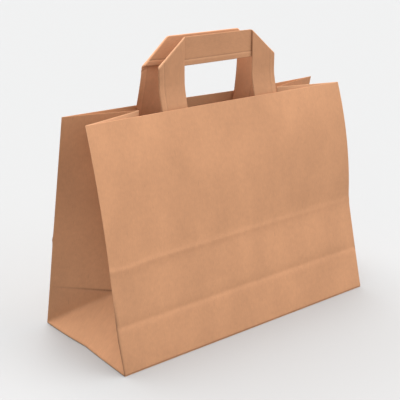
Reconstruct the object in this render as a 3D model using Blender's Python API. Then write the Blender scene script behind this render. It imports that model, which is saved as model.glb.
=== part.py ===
"""Paper carrier bag with a block bottom, side gussets and two folded paper handles, standing open.

X runs across the front, Y towards the back and Z up. The origin is the middle of the base.
"""

import math

import bmesh
import bpy

# The folded sheet, in metres
BAG_WIDTH = 0.320
BAG_DEPTH = 0.136
BAG_HEIGHT = 0.224
RIM_INSET = 0.0025
RIM_GAP = 0.041
PAPER = 0.00015
GUSSET_HALF = 0.074
APEX_HEIGHT = 0.049
FOOT_BOW = 0.0040
FRONT_LEFT_FLARE = 0.0040
FRONT_LEFT_TUCK = 0.0025

# Creases across the panels, where the flat bag was folded up, and how far each panel stands out there
LOW_CREASE = 0.044
HIGH_CREASE = 0.098
FRONT_CREASE_LEFT = 0.0545
FRONT_CREASE_RIGHT = 0.0440
BACK_CREASE = 0.0478
FRONT_BELLY_LEFT = 0.0026
FRONT_BELLY_RIGHT = 0.0058
BACK_BELLY = 0.0016
RIM_BOW = 0.0016

# The glued block bottom and the lengthwise seam
FLAP = 0.0003
FLAP_OVERLAP = 0.024
FLAP_INSET = 0.0002
SEAM_FROM_EDGE = 0.024

# The handles: one folded strip each, with a hem along its outer edge
HANDLE_WIDTH = 0.1440
FRONT_HANDLE_TOP = 0.289
REAR_HANDLE_TOP = 0.288
LEG_WIDTH = 0.0302
GRIP_HEIGHT = 0.0262
STRIP = 0.0009
HEM = 0.0012
HEM_WIDTH = 0.0053
HEM_STEP = 0.0003
FOLD_PITCH = 0.0016
HANDLE_SPREAD = 0.0218
FRONT_BEND_TOP = 0.246
REAR_BEND_TOP = 0.259
FRONT_LEG_OFF_RIM = 0.0018
REAR_LEG_SPLAY = 0.0022
LEG_BELOW_RIM = 0.052
LEAN_AT_RIM = 1.2
LEAN_AT_BEND = 0.4

# The patches glued over the legs inside the bag
PATCH_MARGIN = 0.011
PATCH_BELOW_RIM = 0.021
PATCH_HEIGHT = 0.038
PATCH_SLOPE = 0.0016

CLEARANCE = 0.0003

# How finely the paper is divided
PANEL_COLUMNS = 16
GUSSET_COLUMNS = 6
MIDDLE_ROWS = 4
UPPER_ROWS = 9
FOLD_STEPS = 6
GRIP_PARTS = (0.9, 0.5)

FRONT = -1
BACK = 1


def between(start, end, share):
    return start + (end - start) * share


def clear_scene():
    for obj in list(bpy.data.objects):
        bpy.data.objects.remove(obj, do_unlink=True)


def paper_material(name, colour):
    """Plain uncoated kraft paper."""
    material = bpy.data.materials.new(name)
    material.use_nodes = True
    shader = material.node_tree.nodes["Principled BSDF"]
    shader.inputs["Base Color"].default_value = (*colour, 1.0)
    shader.inputs["Roughness"].default_value = 0.85
    shader.inputs["Metallic"].default_value = 0.0
    return material


def new_object(name, mesh_maker, material=None):
    mesh = bpy.data.meshes.new(name)
    shape = bmesh.new()
    mesh_maker(shape)
    shape.to_mesh(mesh)
    shape.free()
    obj = bpy.data.objects.new(name, mesh)
    bpy.context.scene.collection.objects.link(obj)
    if material:
        mesh.materials.append(material)
    return obj


def add_thickness(obj, thickness, offset):
    """Gives a folded sheet its thickness: offset -1 grows it inwards, 0 to both sides."""
    solidify = obj.modifiers.new("Thickness", "SOLIDIFY")
    solidify.thickness = thickness
    solidify.offset = offset
    solidify.use_even_offset = True
    return solidify


def quad_sheet(shape, rows, closed=False):
    """Faces between neighbouring rows of vertices. A closed sheet joins each row's last vertex to its first."""
    for lower, upper in zip(rows, rows[1:]):
        count = len(lower)
        for i in range(count if closed else count - 1):
            j = (i + 1) % count
            shape.faces.new((lower[i], lower[j], upper[j], upper[i]))


# The bag's own surfaces


def half_width(z):
    return BAG_WIDTH / 2 - RIM_INSET * z / BAG_HEIGHT


def edge_across(end, side, z):
    """How far across a panel's edge stands. The front panel's left edge is tucked in towards its foot."""
    tuck = FRONT_LEFT_TUCK * max(0.0, 1 - z / HIGH_CREASE) if (end, side) == (-1, FRONT) else 0.0
    return end * (half_width(z) - tuck)


def panel_depth(side, share, z):
    """How far a panel's outer face stands from the middle plane, a share of the way from left to right."""
    if side == FRONT:
        crease = between(FRONT_CREASE_LEFT, FRONT_CREASE_RIGHT, share)
        belly = between(FRONT_BELLY_LEFT, FRONT_BELLY_RIGHT, share)
    else:
        crease = BACK_CREASE
        belly = BACK_BELLY * math.sin(math.pi * share)
    if z <= HIGH_CREASE:
        flare = FRONT_LEFT_FLARE * (1 - share) if side == FRONT else 0.0
        return between(BAG_DEPTH / 2 + flare, crease, z / HIGH_CREASE)
    rise = (z - HIGH_CREASE) / (BAG_HEIGHT - HIGH_CREASE)
    rim = RIM_GAP / 2 - RIM_BOW * math.sin(math.pi * share)
    return between(crease, rim, rise) + 4 * belly * rise * (1 - rise)


def panel_at(side, x, z):
    """The panel's depth at a distance across the bag."""
    left = edge_across(-1, side, z)
    return panel_depth(side, (x - left) / (edge_across(1, side, z) - left), z)


def panel_lean(side, x, z):
    """How much depth the panel loses for each unit of height."""
    step = 0.001
    return (panel_at(side, x, z - step) - panel_at(side, x, z)) / step


def centre_crease(end, z):
    """The gusset's centre crease at this height: one gusset half away from both panel edges."""
    share = 0.5 + 0.5 * end
    front = -panel_depth(FRONT, share, z)
    back = panel_depth(BACK, share, z)
    inset = math.sqrt(GUSSET_HALF**2 - ((back - front) / 2) ** 2)
    return end * (half_width(z) - inset), (front + back) / 2, z


def corner_edge(end, side, z):
    share = 0.5 + 0.5 * end
    return edge_across(end, side, z), side * panel_depth(side, share, z), z


def mix(first, second, share):
    return tuple(between(a, b, share) for a, b in zip(first, second))


def foot_point(end, side, share, z):
    """The gusset's bottom edge, from a corner at share 0 to the middle at share 1, which bows inwards."""
    corner, depth, _ = corner_edge(end, side, 0)
    middle = end * (BAG_WIDTH / 2 - FOOT_BOW)
    return between(corner, middle, share**2), between(depth, 0, share), z


def gusset_point(end, side, column, row, z, base):
    """A point of one gusset half. Below the apex the half is a sloping ramp and a triangle above it."""
    share = column / GUSSET_COLUMNS
    apex = centre_crease(end, APEX_HEIGHT)
    if row > GUSSET_COLUMNS:
        rise = (z - LOW_CREASE) / (BAG_HEIGHT - LOW_CREASE)
        inner = centre_crease(end, between(APEX_HEIGHT, BAG_HEIGHT, rise))
        return mix(corner_edge(end, side, z), inner, share)
    diagonal = mix(foot_point(end, side, 0, base), apex, share)
    if row <= column:
        foot = foot_point(end, side, share, base)
        return mix(foot, diagonal, row / column if column else 0)
    crease = mix(corner_edge(end, side, LOW_CREASE), apex, share)
    return mix(diagonal, crease, (row - column) / (GUSSET_COLUMNS - column))


def panel_columns(side):
    """Shares across a panel, each with how far it lies back there. The back panel steps at its lengthwise seam."""
    shares = [i / PANEL_COLUMNS for i in range(PANEL_COLUMNS + 1)]
    if side == FRONT:
        return [(share, 0.0) for share in shares]
    seam = 1 - SEAM_FROM_EDGE / BAG_WIDTH
    near = 0.5 / PANEL_COLUMNS
    outer_ply = [(share, 0.0) for share in shares if share < seam - near]
    under_ply = [(share, PAPER) for share in shares if seam + near < share < 1]
    return outer_ply + [(seam, 0.0), (seam, PAPER)] + under_ply + [(1.0, 0.0)]


def row_heights(base):
    heights = [between(base, LOW_CREASE, i / GUSSET_COLUMNS) for i in range(GUSSET_COLUMNS + 1)]
    for i in range(1, MIDDLE_ROWS + 1):
        heights.append(between(LOW_CREASE, HIGH_CREASE, i / MIDDLE_ROWS))
    for i in range(1, UPPER_ROWS + 1):
        heights.append(between(HIGH_CREASE, BAG_HEIGHT, i / UPPER_ROWS))
    return heights


def panel_line(side, z):
    """One level of a panel, from left to right."""
    left, right = edge_across(-1, side, z), edge_across(1, side, z)
    return [
        (between(left, right, share), side * (panel_depth(side, share, z) - drop), z)
        for share, drop in panel_columns(side)
    ]


def gusset_line(end, row, z, base):
    """One level of a gusset without its corners, from the front corner to the back corner."""
    inwards = range(1, GUSSET_COLUMNS)
    front = [gusset_point(end, FRONT, i, row, z, base) for i in inwards]
    middle = [gusset_point(end, FRONT, GUSSET_COLUMNS, row, z, base)]
    back = [gusset_point(end, BACK, i, row, z, base) for i in reversed(inwards)]
    return front + middle + back


def bag_ring(row, z, base):
    """One level all round the bag: front panel, right gusset, back panel, left gusset."""
    right = gusset_line(1, row, z, base)
    left = gusset_line(-1, row, z, base)
    return panel_line(FRONT, z) + right + panel_line(BACK, z)[::-1] + left[::-1]


def crease_diagonals(shape, rows):
    """Creases the four diagonals, each from a bottom corner to its gusset's apex."""
    count = len(rows[0])
    front_right = len(panel_columns(FRONT)) - 1
    back_right = front_right + 2 * GUSSET_COLUMNS
    back_left = back_right + len(panel_columns(BACK)) - 1
    for corner, step in ((0, -1), (front_right, 1), (back_right, -1), (back_left, 1)):
        for i in range(GUSSET_COLUMNS):
            start = rows[i][(corner + step * i) % count]
            end = rows[i + 1][(corner + step * (i + 1)) % count]
            bmesh.ops.connect_verts(shape, verts=[start, end])


def body_sheet(shape):
    base = 2 * FLAP
    rows = []
    for row, z in enumerate(row_heights(base)):
        rows.append([shape.verts.new(point) for point in bag_ring(row, z, base)])
    quad_sheet(shape, rows, closed=True)
    shape.faces.new(reversed(rows[0]))
    crease_diagonals(shape, rows)


def bottom_flap(shape, side, lowest):
    """A bottom flap with its corners folded in at 45 degrees, from its own fold to past the middle."""
    free = -side * FLAP_OVERLAP / 2
    fold_line = []
    free_line = []
    for end in (-1, 1):
        corner, depth, _ = corner_edge(end, side, 0)
        fold = depth - side * FLAP_INSET
        across = corner - end * FLAP_INSET
        fold_line.append((across, fold))
        free_line.append((across - end * abs(fold - free), free))
    outline = fold_line + free_line[::-1]
    if side == BACK:
        outline.reverse()
    lower = [shape.verts.new((x, y, lowest)) for x, y in outline]
    upper = [shape.verts.new((x, y, 2 * FLAP + PAPER / 2)) for x, y in outline]
    shape.faces.new(reversed(lower))
    shape.faces.new(upper)
    quad_sheet(shape, [lower, upper], closed=True)


def make_body():
    body = new_object("bag_body", body_sheet, paper_material("bag kraft", (0.62, 0.35, 0.19)))
    add_thickness(body, PAPER, -1)
    for side, lowest, name in ((BACK, FLAP, "back flap"), (FRONT, 0.0, "front flap")):
        flap = new_object(name, lambda shape, s=side, low=lowest: bottom_flap(shape, s, low))
        flap.hide_render = True
        flap.display_type = "WIRE"
        glue = body.modifiers.new(name, "BOOLEAN")
        glue.operation = "UNION"
        glue.object = flap
    return body


# The handles


def hermite(start, start_slope, end, end_slope, share):
    """A smooth curve between two values, with the slopes given over the whole length."""
    square = share**2
    cube = share**3
    curve = (2 * cube - 3 * square + 1) * start + (3 * square - 2 * cube) * end
    return curve + (cube - 2 * square + share) * start_slope + (cube - square) * end_slope


def leg_on_panel(side, x, z):
    """The middle of a leg's thickness where it lies against the panel."""
    lean = panel_lean(side, x, z)
    return panel_at(side, x, z) - (PAPER + CLEARANCE + HEM / 2) * math.hypot(1, lean)


def leg_depth(side, x, z):
    """The middle of a leg's thickness: glued to the panel, then free from the patch up, and upright at the top."""
    glued_to = BAG_HEIGHT - PATCH_BELOW_RIM
    if z <= glued_to:
        return leg_on_panel(side, x, z)
    upright = HANDLE_SPREAD / 2 + FOLD_PITCH / 2
    rim = leg_on_panel(side, x, BAG_HEIGHT) - (FRONT_LEG_OFF_RIM if side == FRONT else 0.0)
    free = (FRONT_BEND_TOP if side == FRONT else REAR_BEND_TOP) - BAG_HEIGHT
    lean = (rim - upright) / free
    if z > BAG_HEIGHT:
        share = min((z - BAG_HEIGHT) / free, 1.0)
        return hermite(rim, -LEAN_AT_RIM * lean * free, upright, -LEAN_AT_BEND * lean * free, share)
    inside = BAG_HEIGHT - glued_to
    panel_slope = panel_lean(side, x, glued_to) * inside
    share = (z - glued_to) / inside
    rim_slope = LEAN_AT_RIM * lean * inside
    return hermite(leg_on_panel(side, x, glued_to), -panel_slope, rim, -rim_slope, share)


def leg_splay(side, z):
    """How far out a leg stands from its place at the fold. Only the rear handle's legs spread."""
    if side == FRONT:
        return 0.0
    return REAR_LEG_SPLAY * min(1.0, (REAR_BEND_TOP - z) / (REAR_BEND_TOP - BAG_HEIGHT))


def strip_columns():
    """Shares across the strip from its outer edge, with a narrow step at the hem."""
    hem = HEM_WIDTH / LEG_WIDTH
    step = HEM_STEP / LEG_WIDTH
    return [0.0, hem, hem + step, between(hem, 1.0, 0.5), 1.0]


def leg_heights(side):
    """Heights of a leg's rows from its foot up to just under the diagonal fold."""
    foot = BAG_HEIGHT - LEG_BELOW_RIM
    glued_to = BAG_HEIGHT - PATCH_BELOW_RIM
    bend_top = FRONT_BEND_TOP if side == FRONT else REAR_BEND_TOP
    glued = [between(foot, glued_to, i / 3) for i in range(4)]
    inside = [between(glued_to, BAG_HEIGHT, i / 3) for i in range(1, 4)]
    bend = [between(BAG_HEIGHT, bend_top, i / 6) for i in range(1, 7)]
    return glued + inside + bend


def leg_line(side, end, share):
    """One line up a leg and round its diagonal fold, to where the grip starts."""
    outer = HANDLE_WIDTH / 2
    x = outer - share * LEG_WIDTH
    top = FRONT_HANDLE_TOP if side == FRONT else REAR_HANDLE_TOP
    z = top - (1 - share) * GRIP_HEIGHT
    leg = HANDLE_SPREAD / 2 + FOLD_PITCH / 2
    line = []
    for height in leg_heights(side):
        across = end * (x + leg_splay(side, height))
        line.append((across, side * leg_depth(side, across, height), height))
    reach = math.hypot(GRIP_HEIGHT, LEG_WIDTH)
    set_back = (FOLD_PITCH + HEM) / 2
    for i in range(FOLD_STEPS + 1):
        turn = math.pi * i / FOLD_STEPS
        bulge = FOLD_PITCH / 2 * math.sin(turn) / reach
        depth = leg - FOLD_PITCH / 2 * (1 - math.cos(turn))
        fold_x = x - set_back * reach / GRIP_HEIGHT * i / FOLD_STEPS + GRIP_HEIGHT * bulge
        fold_z = z - set_back * reach / LEG_WIDTH * (1 - i / FOLD_STEPS) + LEG_WIDTH * bulge
        line.append((end * fold_x, side * depth, fold_z))
    grip = leg - FOLD_PITCH
    for part in GRIP_PARTS:
        line.append((end * part * (outer - LEG_WIDTH), side * grip, z))
    return line


def strip_path(side, share):
    """One line along the folded strip, from the left leg's foot over the grip to the right leg's foot."""
    left = leg_line(side, -1, share)
    right = leg_line(side, 1, share)
    middle = (0.0, left[-1][1], left[-1][2])
    return left + [middle] + right[::-1]


def handle_sheet(shape, side):
    hem = shape.verts.layers.deform.verify()
    lines = []
    for index, share in enumerate(strip_columns()):
        line = [shape.verts.new(point) for point in strip_path(side, share)]
        for vert in line:
            vert[hem][0] = 1.0 if index < 2 else STRIP / HEM
        lines.append(line)
    quad_sheet(shape, lines)
    if side == BACK:
        bmesh.ops.reverse_faces(shape, faces=shape.faces)


def make_handle(name, side):
    material = paper_material(f"{name} kraft", (0.56, 0.32, 0.18))
    handle = new_object(name, lambda shape: handle_sheet(shape, side), material)
    handle.vertex_groups.new(name="thickness")
    solidify = add_thickness(handle, HEM, 0)
    solidify.vertex_group = "thickness"
    solidify.thickness_vertex_group = 0.0
    return handle


# The patches


def patch_columns(side):
    """Distances across a patch, each with whether the sheet lies over a leg there."""
    outer = HANDLE_WIDTH / 2 + leg_splay(side, BAG_HEIGHT)
    inner = outer - LEG_WIDTH
    half = [
        (outer + PATCH_MARGIN, False),
        (outer + PATCH_SLOPE, False),
        (outer + CLEARANCE, True),
        (between(inner, outer, 0.5), True),
        (inner - CLEARANCE, True),
        (inner - PATCH_SLOPE, False),
        (inner / 2, False),
    ]
    return [(-x, over) for x, over in half] + [(0.0, False)] + list(reversed(half))


def patch_sheet(shape, side):
    top = BAG_HEIGHT - PATCH_BELOW_RIM
    on_panel = PAPER + CLEARANCE + PAPER / 2
    on_leg = PAPER + 2 * CLEARANCE + HEM + PAPER / 2
    rows = []
    for i in range(6):
        z = between(top - PATCH_HEIGHT, top, i / 5)
        row = []
        for x, over in patch_columns(side):
            lean = math.hypot(1, panel_lean(side, x, z))
            depth = panel_at(side, x, z) - (on_leg if over else on_panel) * lean
            row.append(shape.verts.new((x, side * depth, z)))
        rows.append(row)
    quad_sheet(shape, rows)
    if side == BACK:
        bmesh.ops.reverse_faces(shape, faces=shape.faces)


def make_patch(name, side):
    material = paper_material(f"{name} kraft", (0.53, 0.30, 0.17))
    patch = new_object(name, lambda shape: patch_sheet(shape, side), material)
    add_thickness(patch, PAPER, 0)
    return patch


def main():
    clear_scene()
    make_body()
    make_handle("front_handle", FRONT)
    make_handle("rear_handle", BACK)
    make_patch("front_handle_patch", FRONT)
    make_patch("rear_handle_patch", BACK)


main()
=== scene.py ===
"""Kraft paper carrier bag with a block bottom, side gussets and two folded paper handles, on a pale floor.

X runs across the front, Y towards the back and Z up. The origin is the middle of the base.
"""

import math
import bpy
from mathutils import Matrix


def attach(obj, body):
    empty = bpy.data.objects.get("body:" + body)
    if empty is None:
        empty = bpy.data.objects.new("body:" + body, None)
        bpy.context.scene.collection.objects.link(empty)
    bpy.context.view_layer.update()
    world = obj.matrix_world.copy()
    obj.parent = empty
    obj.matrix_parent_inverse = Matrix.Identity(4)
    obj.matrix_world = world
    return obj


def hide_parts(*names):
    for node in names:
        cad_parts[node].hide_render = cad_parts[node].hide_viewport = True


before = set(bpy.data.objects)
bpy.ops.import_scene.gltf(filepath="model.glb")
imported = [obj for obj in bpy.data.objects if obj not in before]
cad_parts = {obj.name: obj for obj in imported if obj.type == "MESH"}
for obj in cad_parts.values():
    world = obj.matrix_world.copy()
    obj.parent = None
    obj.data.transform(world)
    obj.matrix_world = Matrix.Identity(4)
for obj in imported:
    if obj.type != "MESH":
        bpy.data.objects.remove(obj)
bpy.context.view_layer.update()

from types import SimpleNamespace

import bpy
import numpy as np
from mathutils import Vector
from bpy.props import FloatProperty, FloatVectorProperty, PointerProperty
from bpy.types import Operator, Panel, PropertyGroup

bl_info = {
    "name": "Paper Carrier Bag",
    "version": (1, 0, 0),
    "blender": (4, 5, 0),
    "location": "3D View > Sidebar > Paper Bag",
    "description": "Folds a kraft paper carrier bag with strip handles, and sets up a pale stage for it",
    "category": "Add Mesh",
}

FRONT = -1
BACK = 1
CLEARANCE = 0.0003

# Distances from a fold to the lines of vertices beside it, which round it off
FOLD_LINES = (0.0, 0.0004, 0.0009, 0.0016, 0.0026, 0.0042)
ROUNDING = 0.4
ROUNDING_TURNS = 14

# Painted shade along each fold, the foot, the seam and the front panel's lower left corner: how far each line
# reaches and how dark it is
PAINTED_SHADE_LINES = {
    "front left edge": (0.0021, 1.10),
    "foot": (0.0011, 0.45),
    "gusset foot": (0.0012, 0.45),
    "gusset crease": (0.0010, 0.90),
    "lower left corner": (0.020, 0.28),
    "seam": (0.0006, 0.45),
}

# Painted shade beside a strip's hem and a painted highlight along its edge, on a leg and on the grip, and a
# painted highlight on a corner fold
HEM_LINE = 0.0006
HEM_PAINTED_SHADE = (0.18, 0.50)
HEM_PAINTED_HIGHLIGHT = (0.10, 0.32)
CORNER_PAINTED_HIGHLIGHT = 0.30

# How far beside the seam its line of painted shade lies
SEAM_SHADOW = 0.0001

# Where the base and the bottom plies lie beside the walls on the flat sheet
BASE_PLACE = (0.2, -0.2)
PLIES_PLACE = (0.9, 0.5)

# How far from each edge the paper stays taut: sides, foot, rim and the gusset's apex
TAUT_SIDE = 0.10
TAUT_FOOT = 0.025
TAUT_RIM = 0.03
TAUT_APEX = 0.04
WAVE_SEED = 3

# Spacing of the vertices across a panel, across a gusset, up the bag, along a grip and beside the seam
PANEL_STEP = 0.005
GUSSET_STEP = 0.003
ROW_STEP = 0.0045
GRIP_STEP = 0.004
SEAM_LINES = (-0.0035, -0.0004, 0.0004, 0.0035)
LEG_ROWS = 30
BEND_ROWS = 4
CORNER_STEPS = 14
PATCH_ROWS = 16


def length(name, description, default):
    return FloatProperty(name=name, description=description, default=default, unit="LENGTH", precision=5)


def colour(name, description, default):
    return FloatVectorProperty(
        name=name, description=description, default=default, subtype="COLOR", size=3, min=0.0, max=1.0
    )


def direction(name, description, default):
    return FloatVectorProperty(name=name, description=description, default=default, subtype="DIRECTION")


def share(name, description, default):
    return FloatProperty(
        name=name, description=description, default=default, subtype="FACTOR", min=0.0, max=1.0
    )


def strength(name, description, default):
    return FloatProperty(name=name, description=description, default=default, min=0.0)


class BagSizes(PropertyGroup):
    """Sizes of the folded sheet that makes the bag."""

    width: length("Width", "Across the foot of the bag", 0.320)
    depth: length("Depth", "From front to back at the foot", 0.136)
    height: length("Height", "From the floor to the rim", 0.224)
    rim_inset: length("Rim Inset", "How far each edge leans in from foot to rim", 0.0025)
    rim_gap: length("Mouth", "How far the bag stands open at the rim", 0.041)
    paper: length("Paper", "Thickness of the kraft paper", 0.00015)
    gusset_half: length("Gusset Half", "Width of one half of a folded gusset", 0.074)
    apex_height: length("Gusset Apex", "Height where the gusset's centre crease starts", 0.049)
    foot_bow: length("Foot Bow", "How far the foot of each gusset bows inwards", 0.0040)
    front_left_flare: length("Left Flare", "How far the front foot stands out at its left end", 0.0040)
    front_left_tuck: length("Left Tuck", "How far the foot of the front left edge is tucked in", 0.0025)
    tuck_height: length("Tuck Height", "How far up the front left edge the tuck reaches", 0.035)
    low_crease: length("Lower Crease", "Height of the crease at the top of the block bottom", 0.044)
    high_crease: length("Upper Crease", "Height of the crease where the flat bag was folded up", 0.098)
    front_crease_left: length("Front Left at Crease", "Depth of the front panel at its left end", 0.0545)
    front_crease_right: length("Front Right at Crease", "Depth of the front panel at its right end", 0.0440)
    back_crease: length("Back at Crease", "Depth of the back panel", 0.0478)
    front_belly_left: length("Front Left Belly", "How far the front panel bulges at its left end", 0.0026)
    front_belly_right: length("Front Right Belly", "How far the front panel bulges at its right end", 0.0058)
    back_belly: length("Back Belly", "How far the upper back panel bulges", 0.0016)
    rim_bow: length("Rim Bow", "How far the rims bow towards each other", 0.0016)
    back_sag: length("Back Sag", "How far the back rim sags right of its middle", 0.0016)
    sag_place: share("Sag Place", "Where along the back rim it sags most", 0.70)
    sag_width: share("Sag Width", "How wide the sag is, as a share of the rim", 0.22)
    sag_start: share("Sag Start", "Where up the back panel the sag starts", 0.65)
    flap: length("Flap", "Thickness of a glued bottom flap", 0.0003)
    flap_overlap: length("Flap Overlap", "How far the bottom flaps lie over each other", 0.024)
    seam_from_edge: length("Seam from Edge", "From the back right edge to the lengthwise seam", 0.024)
    wave_height: length("Wave Height", "How far the slack paper waves in and out", 0.0005)
    wave_length: length("Wave Length", "Size of the waves in the slack paper", 0.055)
    crease_relief: length("Crease Relief", "How far the creases stand out or in", 0.0006)
    crease_width: length("Crease Width", "Half the width of a crease", 0.0024)
    ridge_drop: length("Ridge Drop", "From the upper crease down to its ridge", 0.0005)
    valley_rise: length("Valley Rise", "From the lower crease up to its valley", 0.0015)
    ridge_dip: length("Ridge Dip", "How far the ridge dips beside the front left edge", 0.0022)
    dip_place: share("Dip Place", "Where along the ridge it dips most", 0.06)
    dip_width: share("Dip Width", "How wide the dip is, as a share of the ridge", 0.05)


class HandleSizes(PropertyGroup):
    """Sizes of the folded strips that make the handles."""

    width: length("Width", "Across the legs of a handle", 0.1440)
    front_top: length("Front Top", "Height of the front handle's top edge", 0.289)
    rear_top: length("Rear Top", "Height of the rear handle's top edge", 0.288)
    leg_width: length("Leg Width", "Width of the strip in the legs", 0.0302)
    grip_height: length("Grip Height", "Height of the strip in the grip", 0.0262)
    strip: length("Strip", "Thickness of the folded plies", 0.0009)
    hem: length("Hem", "Thickness of the plies at the hem", 0.0012)
    hem_width: length("Hem Width", "Width of the hem along the outer edge", 0.0060)
    fold_pitch: length("Fold Pitch", "From leg to grip across a corner fold", 0.0016)
    fold_spring: length("Fold Spring", "How much more a corner fold stands open at its lower end", 0.0008)
    spread: length("Spread", "Distance between the two handles", 0.0218)
    front_bend_top: length("Front Bend Top", "Height where the front legs stand upright", 0.246)
    rear_bend_top: length("Rear Bend Top", "Height where the rear legs stand upright", 0.259)
    front_leg_off_rim: length("Leg off Rim", "How far the front legs stand off the rim", 0.0018)
    lean_at_rim: strength("Lean at Rim", "How steeply a leg leaves the rim", 1.2)
    lean_at_top: strength("Lean at Top", "How steeply a leg ends", 0.4)
    rear_leg_splay: length("Rear Leg Splay", "How far the rear legs spread below their folds", 0.0022)
    rear_leg_width: length("Rear Leg Width", "Width of the strip in the rear legs", 0.0296)
    rear_reach: length("Rear Reach", "How much further left the rear handle reaches", 0.0031)
    grip_sag: length("Grip Sag", "How far the grip's lower edge hangs between its folds", 0.0009)
    leg_below_rim: length("Leg below Rim", "How far a leg runs down inside the bag", 0.052)
    patch_margin: length("Patch Margin", "How far a patch reaches past the legs", 0.011)
    patch_below_rim: length("Patch below Rim", "From the rim down to a patch", 0.021)
    patch_height: length("Patch Height", "Height of a patch", 0.038)
    patch_slope: length("Patch Slope", "Width of the paper's slope beside a leg", 0.0016)


class PaperLook(PropertyGroup):
    """Colours and texture of the kraft paper."""

    bag_colour: colour("Bag", "Kraft paper of the bag", (0.590, 0.299, 0.158))
    handle_colour: colour("Handles", "Kraft paper of the handle strips", (0.570, 0.285, 0.151))
    # Painted light: the rear strip gets paler kraft, so that its shaded legs render brighter
    rear_painted_light_colour: colour("Rear Handle", "Paler kraft paper of the rear strip", (0.728, 0.377, 0.209))
    patch_colour: colour("Patches", "Kraft paper of the patches", (0.560, 0.282, 0.148))
    # Painted light: this tint is added where the fold value is below 0, on the paler inner face and the
    # bright hem and corner lines
    painted_light_colour: colour("Wear", "What paler paper gains where it is worn or rough", (0.02, 0.18, 0.16))
    cloud: share("Clouding", "Strength of the soft blotches in the pulp", 0.18)
    fibre: share("Fibre", "Strength of the fine fibre lines", 0.10)
    # Painted light on the bag's inner face, as a share of the painted shade and light strength
    inner_painted_light: share("Inner Pallor", "How much paler the bag is inside, as a share of fold shade", 0.60)
    # Takes back part of the rear strip's painted light on its inner face
    rear_shade: share("Rear Shade", "How much darker the rear strip is inside, as such a share", 0.20)
    # Scales the fold value: painted shade along folds, seam and corner, and painted light on the inner face
    # and the hem and corner lines
    painted_shade_and_light: share("Fold Shade", "How much darker the pressed folds are", 0.55)
    grain: share("Grain", "Strength of the fine grain, as a share of the clouding", 0.45)
    fleck: share("Flecks", "How much darker the sparse flecks are", 0.12)
    roughness: share("Roughness", "Roughness of the uncoated face", 0.85)
    unevenness: share("Unevenness", "How far the roughness varies", 0.06)
    sheen: share("Sheen", "How far the paper shines", 0.25)
    tooth: length("Tooth", "Depth of the fibres' relief", 0.00006)
    tooth_strength: share("Tooth Strength", "Strength of the fibres' relief", 0.35)


class StageLook(PropertyGroup):
    """The pale floor and the soft light."""

    backdrop_colour: colour("Backdrop", "The pale backdrop", (0.888, 0.888, 0.888))
    floor_colour: colour("Floor", "The floor, which shows as pale as the backdrop", (0.404, 0.405, 0.406))
    bounce_colour: colour("Floor Bounce", "The floor as the bag sees it", (0.30, 0.30, 0.30))
    sky: strength("Sky", "Even light from all round", 0.27)
    overhead: strength("Overhead Lamp", "Strength of the lamp above", 2.95)
    rear: strength("Rear Lamp", "Strength of the lamp high behind", 2.62)
    front: strength("Front Lamp", "Strength of the low lamp in front", 1.32)
    fill: strength("Fill Lamp", "Strength of the weak lamp in front left", 0.24)
    overhead_from: direction("Overhead From", "Where the lamp above stands", (0.0, -0.035, 1.0))
    rear_from: direction("Rear From", "Where the rear lamp stands", (0.0, 0.5, 0.866))
    front_from: direction("Front From", "Where the front lamp stands", (0.612, -0.612, 0.5))
    fill_from: direction("Fill From", "Where the fill lamp stands", (-0.612, -0.612, 0.5))
    softness: FloatProperty(
        name="Softness", description="How wide each lamp is", default=math.radians(60), subtype="ANGLE"
    )


def plain(group):
    """The group's values as plain numbers, which are quick to read."""
    return SimpleNamespace(**{name: getattr(group, name) for name in type(group).__annotations__})


def between(start, end, part):
    return start + (end - start) * part


def stack(x, y, z):
    return np.stack(np.broadcast_arrays(x, y, z), axis=-1)


def ease(value, start, end):
    """Rises smoothly from 0 at start to 1 at end."""
    part = np.clip((value - start) / (end - start), 0.0, 1.0)
    return part * part * (3 - 2 * part)


def fading(distance, reach):
    """1 on a line, fading to nothing past its reach."""
    return np.exp(-((distance / reach) ** 2))


def quads(index):
    """The faces between the points of a grid."""
    return np.stack([index[:-1, :-1], index[:-1, 1:], index[1:, 1:], index[1:, :-1]], axis=-1).reshape(-1, 4)


def quads_on_side(points, side):
    """The faces of a sheet that hangs on the front or the back, turned so that they face outwards."""
    faces = quads(np.arange(points.shape[0] * points.shape[1]).reshape(points.shape[:2]))
    return faces[:, ::-1] if side == BACK else faces


def graded(total, step, start=True, end=True):
    """Distances along a strip of paper, closer together beside the folds at its ends."""
    low = list(FOLD_LINES) if start else [0.0]
    high = [total - line for line in FOLD_LINES] if end else [total]
    count = max(1, round((high[-1] - low[-1]) / step))
    inner = [between(low[-1], high[-1], i / count) for i in range(1, count)]
    return np.array(low + inner + high[::-1])


# The bag's own surfaces


def half_width(bag, z):
    return bag.width / 2 - bag.rim_inset * z / bag.height


def edge_across(bag, end, side, z):
    """How far across a panel's edge stands. The front panel's left edge is tucked in towards its foot."""
    tuck = 0.0
    if (end, side) == (-1, FRONT):
        tuck = bag.front_left_tuck * np.clip(1 - z / bag.tuck_height, 0, None)
    return end * (half_width(bag, z) - tuck)


def panel_depth(bag, side, part, z):
    """How far a panel's outer face stands from the middle plane, a part of the way from left to right."""
    if side == FRONT:
        foot = bag.depth / 2 + bag.front_left_flare * (1 - part)
        crease = between(bag.front_crease_left, bag.front_crease_right, part)
        belly = between(bag.front_belly_left, bag.front_belly_right, part)
    else:
        foot = bag.depth / 2
        crease = bag.back_crease
        belly = bag.back_belly * np.sin(np.pi * part)
    rise = np.clip((z - bag.high_crease) / (bag.height - bag.high_crease), 0, 1)
    rim = bag.rim_gap / 2 - bag.rim_bow * np.sin(np.pi * part)
    lower = between(foot, crease, z / bag.high_crease)
    upper = between(crease, rim, rise) + 4 * belly * rise * (1 - rise)
    return np.where(z <= bag.high_crease, lower, upper)


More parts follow.
